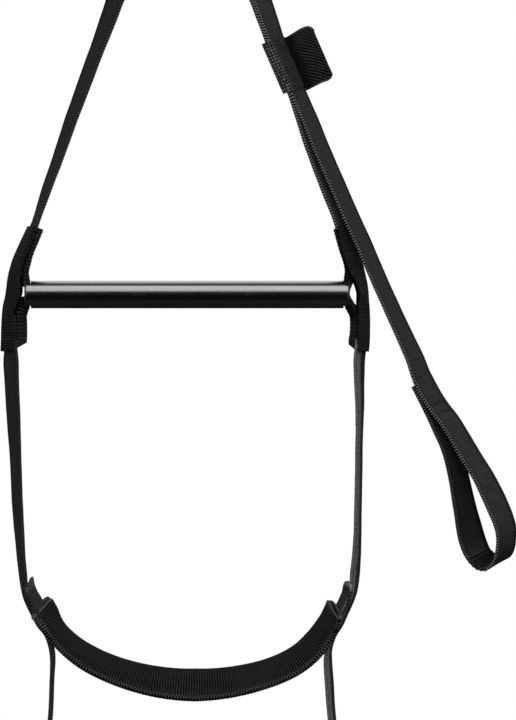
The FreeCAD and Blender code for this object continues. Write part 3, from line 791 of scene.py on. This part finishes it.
for name, outboard in SIDES:
    whole = riser(APEX, step_top(2) - 0.35 * STEP_SAG, outboard)
    height = whole.centre[:, 2]
    # The riser is pressed back between the sleeve and the retainer.
    from_top, from_bottom = SLEEVE_TOP - 2 - height, height - SLEEVE_BOTTOM - 2
    in_sleeve = np.clip(from_top / 12, 0, 1) * np.clip(from_bottom / 12, 0, 1)
    whole = Lay(whole.centre + Y * TUCK * in_sleeve[:, None], whole.across)
    # Three pieces, divided at the bar and at the ends of the first step.
    cuts = [0.0, *(whole.reach_height(height) for height in (BAR - 6.0, step_top(1) - 3.0)), whole.along[-1]]
    # Where the riser lies inside the sleeve; its colour is painted dark there as shade between the layers.
    painted_sleeve_shade = whole.reach_height(SLEEVE_TOP + 1.0), whole.reach_height(SLEEVE_BOTTOM + 3.0)
    above_bar, below_bar = RISER_PAINTED_LIGHT[outboard]
    upper = make_nylon(f"{name} riser nylon", painted_sleeve_shade=painted_sleeve_shade, **above_bar)
    lower = make_nylon(f"{name} lower riser nylon", painted_sleeve_shade=painted_sleeve_shade, **below_bar)
    for start, end, finish, facts in zip(cuts, cuts[1:], (upper, lower, lower), BENDS):
        part, fold, node, body, next_body, top, length = facts
        piece = webbing(f"{name}_riser_{part}", whole.part(start, end), outboard, start=start, finish=finish)
        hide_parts(f"{name}_riser_{fold}", f"{name}_{node}")
        bend(piece)


# ---- sleeves and retainers at the bar's ends


def ribs(height, pitch=RIB):
    """Round cross ribs of that height."""
    return lambda along, over: height * np.cos(along * 2 * pi / pitch)


def flat_profile(half, points=9):
    return np.stack((np.linspace(-half, half, points), np.zeros(points)), axis=1)


def sleeve_lay(outboard):
    """The outer strip, on the riser's outer face at its near edge and standing off it at its far edge."""
    run = riser(SLEEVE_TOP - (2.0 if outboard < 0 else 0.0), SLEEVE_BOTTOM, outboard)
    flat = run.moved(0, outboard * WEBBING_THICK)
    lean = 2.5 if outboard < 0 else 1.0
    return flat.turned(outboard * lean * np.clip(run.along / 30.0, 0, 1), hinge=-HALF_WEBBING)


# Height from the bar, how far out the near and far edges are, and the width from edge to edge.
RETAINER = {
    -1: (
        (53, 121.2, 115.8, 24.8), (47, 122.9, 118.2, 24.8), (41, 125.2, 120.6, 24.8),
        (34, 128.2, 123.6, 24.8), (26, 131.6, 125.8, 24.6), (20, 133.2, 127, 22), (14, 133.4, 127.4, 16),
        (11.5, 132.8, 126.8, 12.4), (8.6, 131.4, 126.4, 11.9), (6.4, 128.8, 126.4, 11.9),
        (3.6, 127.8, 126.4, 11.7), (-1.4, 127.8, 126.4, 11.7), (-2.6, 128.8, 126.4, 11.7),
        (-3.8, 131.6, 126.4, 11.9), (-5.6, 134.8, 126.2, 11.9), (-8.5, 137, 126, 11.9),
        (-11.5, 138, 127, 13), (-15, 138.4, 128.2, 17), (-20, 138.4, 128.8, 22.5), (-25, 138.4, 129, 24.6),
        (-31, 138.2, 129, 24.8), (-38, 138, 129.2, 24.8), (-44, 137.8, 129.4, 24.8),
    ),
    1: (
        (53, 121, 117.6, 24.8), (47, 122, 119.2, 24.8), (40, 123.4, 121, 24.8), (33, 125.2, 123.2, 24.8),
        (26, 127.8, 125.6, 24.6), (19, 130, 127, 22), (14, 131.6, 127, 16), (11.2, 131.5, 126.6, 12.4),
        (8, 130.4, 126.4, 11.9), (4, 128.8, 126.4, 11.7), (0, 128.2, 126.4, 11.7), (-3, 129.4, 126.4, 11.7),
        (-6, 131.2, 126.4, 11.9), (-8.4, 132.8, 126.8, 12), (-11.5, 135, 128.4, 13), (-15, 136.6, 130.6, 17),
        (-20, 137.2, 131.2, 22.5), (-25, 137.2, 131, 24.6), (-31, 137.2, 130.8, 24.8),
        (-38, 136.6, 129.8, 24.8), (-45, 136, 129.6, 24.8),
    ),
}


def retainer_lay(outboard):
    """The inner strip, and half its width all along it."""
    keys, halves = [], []
    for rise, near, far, width in RETAINER[outboard]:
        keys.append(from_edges(near, far, width, outboard, 0.0, BAR + rise))
        halves.append((BAR + rise, width / 2))
    inner = laid(keys)
    heights, widths = zip(*reversed(halves))
    return inner, np.interp(inner.centre[:, 2], heights, widths)


for name, outboard in SIDES:
    outer = sleeve_lay(outboard)
    piece = strip(
        f"{name}_outer_sleeve", outer, flat_profile(SLEEVE_HALF, 17), SLEEVE_THICK,
        sleeve_ribbed, ribs(0.16), rim=0.4,
    )
    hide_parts(f"{name}_bar_sleeve")
    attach(piece, "upper_frame")

    inner, half = retainer_lay(outboard)
    gathered = np.clip((RETAINER_HALF - half) / 4.4, 0, 1)[:, None]
    share = np.linspace(-1, 1, 33)[None, :]
    lower_end = np.clip(1 - (inner.along[-1] - inner.along) / 14.0, 0, 1)[:, None]
    profile = np.zeros((len(half), 33, 3))
    profile[..., 0] = share * half[:, None]
    profile[..., 1] = gathered * PLEAT_DEPTH * np.sin(share * PLEATS * pi)
    profile[..., 2] = -lower_end * (share + 1) * 2.6
    piece = strip(
        f"{name}_inner_retainer", inner, profile, RETAINER_THICK,
        coarse_ribbed, ribs(0.2, COARSE_RIB), rim=0.3,
    )
    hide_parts(f"{name}_bar_retainer")
    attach(piece, "upper_frame")

    length = outer.along[-1]
    rows = []
    for distance in (24.0, length - 9.0):
        rows += bartack(outer.spot(distance), outboard, 1.1, half=11, reach=0.45)
    for a in (-9.5, 0.0, 9.5):
        rows += running(outer, a, outboard, 1.0, length - 36, length - 2)
    rows += running(outer, 9.5, outboard, 1.0, 3, 22)
    length = inner.along[-1]
    for distance in (7.0, length - 9.0):
        rows += bartack(inner.spot(distance), -outboard, 1.0, reach=0.6)
    piece = sew(f"{name}_sleeve_stitching", rows)
    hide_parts(f"{name}_sleeve_bartacks")
    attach(piece, "upper_frame")


# ---- spreader bar and end plugs


def pull(distance):
    """Extrudes the open ring of edges along the tube."""
    bpy.ops.mesh.extrude_region_move(TRANSFORM_OT_translate={"value": (distance * MM, 0, 0)})


def make_bar():
    bpy.ops.object.select_all(action="DESELECT")
    left_end = (-BAR_LENGTH / 2 * MM, 0, BAR * MM)
    bpy.ops.mesh.primitive_circle_add(
        vertices=160, radius=BAR_RADIUS * MM, location=left_end, rotation=(0, pi / 2, 0)
    )
    piece = start_piece("polished_bar")
    rest_at_origin(piece)
    bpy.ops.object.mode_set(mode="EDIT")
    bpy.ops.mesh.select_all(action="SELECT")
    pull(NOTCH_DEPTH)
    pull(BAR_LENGTH - 2 * NOTCH_DEPTH)
    pull(NOTCH_DEPTH)
    bpy.ops.mesh.select_all(action="SELECT")
    bpy.ops.mesh.normals_make_consistent(inside=False)
    bpy.ops.mesh.select_mode(type="FACE")
    bpy.ops.mesh.select_all(action="DESELECT")
    bpy.ops.object.mode_set(mode="OBJECT")
    reach = (BAR_LENGTH / 2 - NOTCH_DEPTH) * MM
    for face in piece.data.polygons:
        face.select = abs(face.center.x) > reach and abs(face.center.y) < NOTCH_HALF * MM
    bpy.ops.object.mode_set(mode="EDIT")
    bpy.ops.mesh.delete(type="FACE")
    bpy.ops.object.mode_set(mode="OBJECT")
    put_on(piece, "SOLIDIFY", thickness=BAR_WALL * MM, offset=-1.0)
    soften(piece, 0.35, 3)
    smooth(piece, 50.0)
    return piece


bar = make_bar()
dress(bar, bar_metal)
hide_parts("spreader_bar")
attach(bar, "upper_frame")

for name, _ in SIDES:
    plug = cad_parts[f"{name}_bar_plug"].data
    plug.materials.clear()
    plug.materials.append(plug_plastic.material)

# ---- foot steps

# A step's band sags from its two ends to its lowest place, STEP_MIDDLE. STEP_REACH is how far out each
# end is from there, BOW how much of the sag is an even bow (the rest is close to the end), and TILTS how
# many degrees the band is tipped to the front from level, from the middle, 0, to the end, 1.
STEP_MIDDLE = 6.0
STEP_REACH = {-1: 122.3, 1: 111.8}
BOW = {-1: 0.69, 1: 0.55}
TILTS = {
    -1: ((0, 36), (0.25, 33), (0.5, 28.5), (0.7, 25.5), (0.86, 21), (0.94, 19.5), (1, 29)),
    1: ((0, 36), (0.25, 33), (0.5, 29.5), (0.7, 28.5), (0.85, 27), (1, 20)),
}


def step_key(share, number):
    """The centre and width direction of a step's band, from its left end, -1, to its right end, 1."""
    outboard = -1 if share < 0 else 1
    away = abs(share)
    bow, reach = BOW[outboard], STEP_REACH[outboard]
    rise = STEP_SAG * (bow * away**2 + (1 - bow) * away**8)
    slope = STEP_SAG / reach * (2 * bow * away + 8 * (1 - bow) * away**7) * outboard
    run = unit(np.array((1.0, 0.0, slope)))
    centre = np.array((STEP_MIDDLE + share * reach, 0.0, step_bottom(number) + rise))
    return centre, facing(run, np.interp(away, *zip(*TILTS[outboard])))


def step_lay(number, start=-1.0, end=1.0, step=0.58):
    return laid([step_key(mix(start, end, n / 40), number) for n in range(41)], step)


def cover_skin():
    """The cover's outer skin: near edge, foot face, rounded fold, underside and back to the near edge."""
    near, lip = -STEP_HALF, -STEP_HALF + 6.5
    top = [(near - 0.3, 1.9), (near + 1.5, 2.0), (near + 3.8, 2.0), (lip, 2.7), (lip + 3, 3.6)]
    top += [(a, COVER_HALF) for a in (-7.0, -3.0, 1.0, 5.0, 9.0, 12.0)]
    fold = [on_circle(degrees, COVER_HALF, STEP_HALF - COVER_HALF) for degrees in range(75, -76, -15)]
    under = [(a, -b) for a, b in reversed(top)]
    under[-1] = (near + 0.5, -1.9)
    return np.array(top + fold + under)


# How far each end of the cover reaches out at the near edge, at the fold on the foot face, and at the
# fold on the underside, how far the foot face is rounded there, how much of the fullness is left, and
# how far the fold is pulled out beside the end.
COVER_END = {-1: (-1.5, 5.5, 8, 4, 0.6, 5), 1: (-4.5, 6.2, 6.2, 2.5, 0.7, -1.8)}


def cover_profile(band, skin):
    """The skin all along the band. Each end is pressed flatter, and its two layers reach out unevenly."""
    profile = np.zeros((len(band.along), len(skin), 3))
    profile[..., :2] = skin
    a, b = skin[:, 0], skin[:, 1]
    on_top = np.clip(b / COVER_HALF + 0.5, 0, 1)
    share = np.clip((a + STEP_HALF) / (2 * STEP_HALF), 0, 1)
    corner = 1 - np.sqrt(1 - np.clip((a - STEP_HALF + 12.0) / 12.05, 0, 1) ** 2)
    for outboard, (near, top_fold, under_fold, rounded, full, pulled) in COVER_END.items():
        from_end = band.along if outboard < 0 else band.along[-1] - band.along
        fade = np.clip(1 - from_end / COVER_PRESSED, 0, 1)[:, None] ** 2
        top = mix(near, top_fold, share) - rounded * corner
        under = mix(near, under_fold, share**0.7) - 0.5 * rounded * corner
        profile[..., 2] += fade * outboard * (top * on_top + under * (1 - on_top))
        profile[..., 1] *= 1 - fade * (1 - full)
        beside = np.exp(-(((from_end - 9.0) / 8.0) ** 2))[:, None]
        profile[..., 0] += pulled * beside * share**3
    return profile


# Height above the step's ends, how far out the near and far edges of the sewn strap end are, and how
# far it is pulled to the front.
TAIL = {
    -1: (
        (1, 121.6, 113.6, 0), (6.5, 125.2, 116.8, 1), (12, 127.4, 120.4, 2), (17, 128.4, 122.6, 2.4),
        (21.6, 129, 123.8, 2.4),
    ),
    1: (
        (-3, 124, 116, 0), (6, 128.8, 121.6, 1.2), (12, 130.1, 124.4, 2.2), (17, 130.8, 125.4, 2.4),
        (23, 131.2, 126.2, 2.4),
    ),
}


def tail_lay(number, outboard):
    """Out of the step's open end and up the riser's inner face."""
    keys = []
    for share in (0.0, 0.35, 0.6, 0.8, 0.88, 0.95):
        centre, across = step_key(share * outboard, number)
        ahead, behind = (step_key(share * outboard + nudge, number)[0] for nudge in (0.004, -0.004))
        face = np.cross(unit(ahead - behind), across)
        keys.append((centre + across * TAIL_PLACE[0] + face * TAIL_PLACE[1], across))
    for rise, near, far, front in TAIL[outboard]:
        keys.append(from_edges(near, far, WEBBING_WIDTH, outboard, -front, step_top(number) + rise))
    return laid(keys)


skin = cover_skin()
band = step_lay(1)
# Its dotted edges and folded ends carry painted highlights, with a painted shade line inside the dots.
cover_ribbed = make_ribbed("ribbed step cover", tone=0.85, edge=arc(skin)[-1] / 2, hem=band.along[-1] / 2)

for number in (1, 2):
    band = step_lay(number)
    length = band.along[-1]

    def ribbing(along, _):
        hem = 0.35 * (1 - np.clip(np.abs(np.minimum(along, length - along) - 1.2) / 1.4, 0, 1))
        return 0.10 * np.cos((along - length / 2) * 2 * pi / RIB) + hem

    piece = strip(
        f"step_{number}_folded_cover", band, cover_profile(band, skin), COVER_THICK,
        cover_ribbed, ribbing, offset=-1.0, rim=0.35, start=-length / 2,
    )
    cover_ends = [f"step_{number}_{name}_cover_end" for name, _ in SIDES]
    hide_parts(f"step_{number}_cover", *cover_ends)
    ends_body = "middle_frame" if number == 1 else "lower_frame"
    bend(piece)

    seam_rows = []
    for side in (1, -1):
        seam_rows += running(band, SEAM, side, 2.15, 6, length - 6, 1.9, 1.0)
    piece = sew(f"step_{number}_edge_stitching", seam_rows, 0.6)
    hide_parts(f"step_{number}_seam")
    bend(piece)

    inner = step_lay(number, -0.8, 0.78, 2.0)
    piece = strip(
        f"step_{number}_stiffener_sheet", inner.moved(*STIFFENER_PLACE), flat_profile(STIFFENER_HALF),
        STIFFENER_THICK, stiffener_plastic, rim=0.3,
    )
    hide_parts(f"step_{number}_stiffener")
    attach(piece, f"step_{number}")

    rows = []
    for name, outboard in SIDES:
        tail = tail_lay(number, outboard)
        reach = tail.along[-1]
        to_end = np.clip(1 - (reach - tail.along) / 12.0, 0, 1)[:, None] ** 2
        cut = EDGED / HALF_WEBBING * 4.0 if outboard < 0 else -5.0 * (1 - np.sqrt(1 - (EDGED / 12.75) ** 2))
        piece = webbing(
            f"step_{number}_{name}_strap_tail", tail, outboard * 0.4 + number, start=-reach, sway=0.0,
            finish=sealed_nylon[outboard], slide=to_end * cut,
        )
        nodes = [f"step_{number}_{name}_tail"]
        if outboard < 0:
            nodes.append(f"step_{number}_strap")
        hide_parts(*nodes)
        bend(piece)
        for back in (5.5, 13.0):
            rows += bartack(tail.spot(reach - back), 1, 1.4)
    piece = sew(f"step_{number}_tail_bartacks", rows)
    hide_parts(f"step_{number}_bartacks")
    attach(piece, ends_body)


# ---- grab strap and hand loop

# Height from the bar, how far out the strap is, how far back, and how far its face is turned to the front.
FREE_STRAP = (
    (150, 93.9, 0.2, 28), (140, 98.2, 0.4, 28.5), (120, 106.2, 0.3, 29), (101, 114.2, 0, 29),
    (82, 122.4, -0.3, 29), (63, 130.8, -0.8, 29), (44, 139.6, -1.4, 29), (24, 148.2, -2.2, 29),
    (5, 156.4, -3.1, 29), (-14, 164.8, -4.2, 29.5), (-33, 173.6, -5.5, 30.5), (-50, 181.4, -7, 33),
)
LOOP_TOP = np.array((187.4, -8.9, BAR - 65.9))
LOOP_RUN = unit(np.array((0.391, -0.03, -0.92)))
LOOP_TURN = radians(38)
LOOP_FRONT = np.cross(LOOP_RUN, Y) * cos(LOOP_TURN) - Y * sin(LOOP_TURN)
# How far down the loop and how far to its front, how far its face is turned to the front, and how far its
# back edge is lifted.
HAND_LOOP = (
    (0, 0, 36, 0), (9, 0.6, 37, 0), (18, 1.9, 37, 0), (29, 4.4, 37, 0), (42, 8.4, 37, 0), (56, 11, 37, 0),
    (70, 13.2, 38, 0), (82, 15.4, 38, 0), (93, 17.4, 39, 0), (103, 18.3, 41, 0), (112, 18.8, 42, 0),
    (121, 19.1, 42, 0), (130, 18.9, 41, 0), (138.6, 17.2, 41, 0), (147.2, 12.9, 41, 0), (154.2, 7.5, 42, 0),
    (159.2, 0.5, 44, 0.03), (160, -7, 45, 0.08), (155.8, -13.4, 47, 0.14), (149.6, -16.8, 49, 0.14),
    (142.8, -17.7, 54, 0.08), (135, -17.2, 55, 0), (124, -15.1, 52, 0), (113, -12.6, 46, 0),
    (102, -9.8, 43, 0), (91, -6.8, 40, 0), (80, -4.2, 38, 0), (68, -2, 36, 0), (56, -1.2, 34, 0),
    (44, -1.6, 33, 0), (32, -2.2, 32, 0), (20, -2.6, 34, 0), (11, -3, 36, 0), (4.5, -3.4, 37, 0),
)

under_keeper = KEEPER - KEEPER_LENGTH / 2
on_riser = riser(APEX, under_keeper, 1).moved(0, LAYER)
keys = [(c, a) for c, a in zip(grab_start.centre[::8], grab_start.across[::8]) if c[2] > APEX + 2]
keys += [(c, a) for c, a in zip(on_riser.centre[:-6:12], on_riser.across[:-6:12])]
keys.append((on_riser.centre[-1], on_riser.across[-1]))
strap_run = unit(np.array((0.44, 0.0, -0.9)))
for rise, out, back, turn in FREE_STRAP:
    keys.append((np.array((out, back, BAR + rise)), facing(strap_run, turn)))
for down, front, turn, lifted in HAND_LOOP:
    place = LOOP_TOP + LOOP_RUN * down + LOOP_FRONT * front
    keys.append((place, facing(LOOP_RUN, turn) - LOOP_RUN * lifted))
whole_strap = laid(keys)
to_free = whole_strap.along[np.argmin(np.linalg.norm(whole_strap.centre - on_riser.centre[-1], axis=1))]
to_loop = whole_strap.along[np.argmin(np.linalg.norm(whole_strap.centre - LOOP_TOP, axis=1))]

strap = webbing("grab_strap_on_riser", whole_strap.part(0.0, to_free), 1)
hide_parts("grab_strap_end", "grab_strap_top_fold", "grab_strap_upper")
bend(strap)

strap = webbing("grab_strap_free", whole_strap.part(to_free, to_loop), 1, start=to_free)
strap_top, bend_end = whole_strap.spot(to_free)[0], whole_strap.spot(to_free + EYE_BEND)[0]
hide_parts("grab_strap_fold", "grab_strap_lower")
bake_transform(strap)

loop_lay = whole_strap.part(to_loop, whole_strap.along[-1])
at_bottom = np.argmin(loop_lay.centre[:, 2])
from_bottom = loop_lay.along - loop_lay.along[at_bottom]
creased = np.exp(-((from_bottom - 8.0) / 7.0) ** 2) * 0.6 * np.cos(from_bottom * 2 * pi / CREASE)
# Past the loop's bottom bend its colour has painted highlights and shade on the creases, then painted shade
# on the back part.
loop_nylon = make_nylon("hand loop nylon", painted_bend_light=to_loop + loop_lay.along[at_bottom])
loop = webbing("hand_loop_webbing", loop_lay, 1, start=to_loop, lift=creased, finish=loop_nylon)
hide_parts("hand_loop_fold", "hand_loop")
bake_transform(loop)

rows = []
for down in (24.0, 33.0):
    ahead, behind = loop_lay.spot(down), loop_lay.spot(loop_lay.along[-1] - down + 4.5)
    rows += bartack(ahead, 1, 1.3) + bartack(behind, 1, 1.3)
piece = sew("hand_loop_bartack_rows", rows)
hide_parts("hand_loop_bartack")
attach(piece, "hand_loop")

# ---- keeper and its flap


def on_keeper(half_height):
    """The run of the riser and the strap through the keeper."""
    run = riser(KEEPER + half_height, KEEPER - half_height, 1, 4).moved(0, LAYER / 2)
    return Lay(run.centre - X * 1.2, run.across)


keeper_lay = on_keeper(WRAP_HALF)


def keeper_profile():
    """Round the two straps, closed at the middle of the inboard face."""
    half_a, half_b, radius = 14.5, 4.15, 2.4
    corners = ((1, -1, -90), (1, 1, 0), (-1, 1, 90), (-1, -1, 180))
    ring = [(0.0, -half_b)]
    for side_a, side_b, begin in corners:
        for degrees in (0, 18, 36, 54, 72, 90):
            middle = side_a * (half_a - radius), side_b * (half_b - radius)
            ring.append(on_circle(begin + degrees, radius, *middle))
    ring.append((0.0, -half_b))
    ring = np.array(ring)[::-1]
    reach = arc(ring)
    fine = np.linspace(0, reach[-1], 161)
    return np.stack((np.interp(fine, reach, ring[:, 0]), np.interp(fine, reach, ring[:, 1])), axis=1)


def basketry(along, over):
    return 0.28 * np.abs(np.cos(along * pi / BASKET) * np.cos(over * pi / BASKET))


piece = strip(
    "keeper_basket_wrap", keeper_lay, keeper_profile(), KEEPER_THICK,
    basket, basketry, offset=-1.0, rim=0.0,
)
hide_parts("keeper_wrap")
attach(piece, "upper_frame")

flap_run = on_keeper(KEEPER_LENGTH / 2)
flap_across = flap_run.face * cos(FLAP_LEAN) + flap_run.across * sin(FLAP_LEAN)
flap_lay = Lay(flap_run.moved(*FLAP_PLACE).centre, flap_across)
flap_half = flap_lay.along[-1] / 2
# The flap's webbing: a painted highlight along its hem, and a painted shadow near its root, where it goes
# under the keeper's face.
twill = make_ribbed(
    "slanted ribbed webbing",
    tone=0.85, pitch=TWILL_RIB, slant=-38.0, hem=flap_half + 0.6, shade=(0.0, -9.5, 0.85),
)
leaf = np.linspace(FLAP_ROOT, FLAP_TIP, 40)
from_ends = np.minimum(flap_lay.along, flap_lay.along[-1] - flap_lay.along)
corner = np.clip((leaf - FLAP_STRAIGHT) / FLAP_CORNER, 0, 1)
rounded = 4.6 * (1 - np.sqrt(1 - corner**2)) - 1.6 * np.clip(leaf / 15.0, 0, 1)
leaf_profile = np.zeros((len(from_ends), len(leaf), 3))
leaf_profile[..., 0] = leaf
fade = np.clip(1 - from_ends / 16.0, 0, 1)[:, None] ** 2
leaf_profile[..., 2] = fade * rounded * np.where(flap_lay.along < flap_half, 1, -1)[:, None]
leaf_profile[..., 2] += 2.0 * np.clip(1 - leaf / 12.0, 0, 1)
piece = strip(
    "keeper_folded_flap", flap_lay, leaf_profile, FLAP_THICK,
    twill, ribs(0.08, TWILL_RIB), rim=1.0, start=-flap_half,
)
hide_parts("keeper_flap")
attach(piece, "keeper_flap")

rows = []
for distance in (3.5, keeper_lay.along[-1] - 3.5):
    rows += bartack(keeper_lay.spot(distance), 1, 4.4, reach=1.2)
piece = sew("keeper_stitch_rows", rows)
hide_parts("keeper_stitching")
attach(piece, "upper_frame")

# ---- floor, light and camera


def make_floor_finish():
    """Pale where the camera sees it, and dark to the object, so that it throws no light up at it."""
    f = Finish("pale studio floor")
    soft = f.mottle(3.0, 3.0)
    away = f.node("VectorMath", [(0, f.stretched(1.0, 1.0, 0.0))], operation="LENGTH")["Value"]

    def matt(colour):
        return f.node("BsdfDiffuse", [(0, colour)])[0]

    def between(share, first, second):
        return f.node("MixShader", enumerate((share, first, second)))[0]

    pale = matt(f.blend(soft, grey(0.84), grey(0.88)))
    glow = f.node("Emission", ((0, grey(1.0)), (1, 1.0)))[0]
    seen = between(f.ramp(away, 1.3, 2.9, 0.35, 1.0), pale, glow)
    near = f.blend(soft, grey(0.034), grey(0.040))
    dark = matt(f.blend(f.ramp(away, 0.1, 1.1, 0.9, 0.02), grey(0.001), near))
    whole = between(f.node("LightPath")["Is Camera Ray"], dark, seen)
    f.join(whole, f.tree.nodes["Material Output"].inputs[0])
    return f


bpy.ops.object.select_all(action="DESELECT")
bpy.ops.mesh.primitive_circle_add(vertices=96, radius=3.2, fill_type="NGON", location=(0, 0, -1.12))
floor = start_piece("studio_floor")
rest_at_origin(floor)
floor.data.materials.append(make_floor_finish().material)

# The world is white behind the object and in glass, and a soft screen in the object's reflections.
world = bpy.data.worlds.new("studio")
bpy.context.scene.world = world
world.use_nodes = True
world.node_tree.nodes.clear()
w = Nodes(world.node_tree)
screen = w.ramp(w.apart(w.node("TexCoord")["Generated"])[1], 0.05, 0.62, 0.001, 1.0)
path = w.node("LightPath")
lit = w.choose(path["Is Glossy Ray"], 0.16, screen)
white = w.maths("MAXIMUM", path["Is Camera Ray"], path["Is Transmission Ray"])
sky = w.node("Background", (("Color", grey(1.0)), ("Strength", w.choose(white, lit, 1.0))))[0]
w.node("OutputWorld", [(0, sky)])


def softbox(name, place, aim, width, height, power):
    lamp = bpy.data.lights.new(name, "AREA")
    lamp.shape = "RECTANGLE"
    lamp.size, lamp.size_y = width, height
    lamp.energy = power
    holder = bpy.data.objects.new(name, lamp)
    bpy.context.collection.objects.link(holder)
    toward = unit(np.array(aim) - np.array(place))
    holder.location = place
    holder.rotation_euler = Vector(toward).to_track_quat("-Z", "Y").to_euler()
    return holder


softbox("key softbox", (0.05, -0.93, 0.75), (0.05, 0.0, -0.435), 2.6, 1.36, 11.8)
softbox("left softbox", (-2.1, -1.5, 0.2), (0.0, 0.0, -0.5), 1.5, 1.9, 4.0)
softbox("right softbox", (2.2, -1.5, 0.1), (0.05, 0.0, -0.5), 1.5, 1.9, 6.0)
front = softbox("front softbox", (0.3, -3.6, 0.9), (0.05, 0.0, -0.5), 2.0, 1.4, 85.0)
front.visible_glossy = False

lens = bpy.data.cameras.new("long lens")
camera = bpy.data.objects.new("long lens", lens)
bpy.context.collection.objects.link(camera)
camera.location = (0.0566, -5.0, -0.4874)
camera.rotation_euler = (pi / 2, 0, 0)
lens.sensor_width = 36.0
lens.lens = 312.5
lens.clip_end = 60.0
bpy.context.scene.camera = camera
bpy.context.scene.view_settings.view_transform = "Standard"
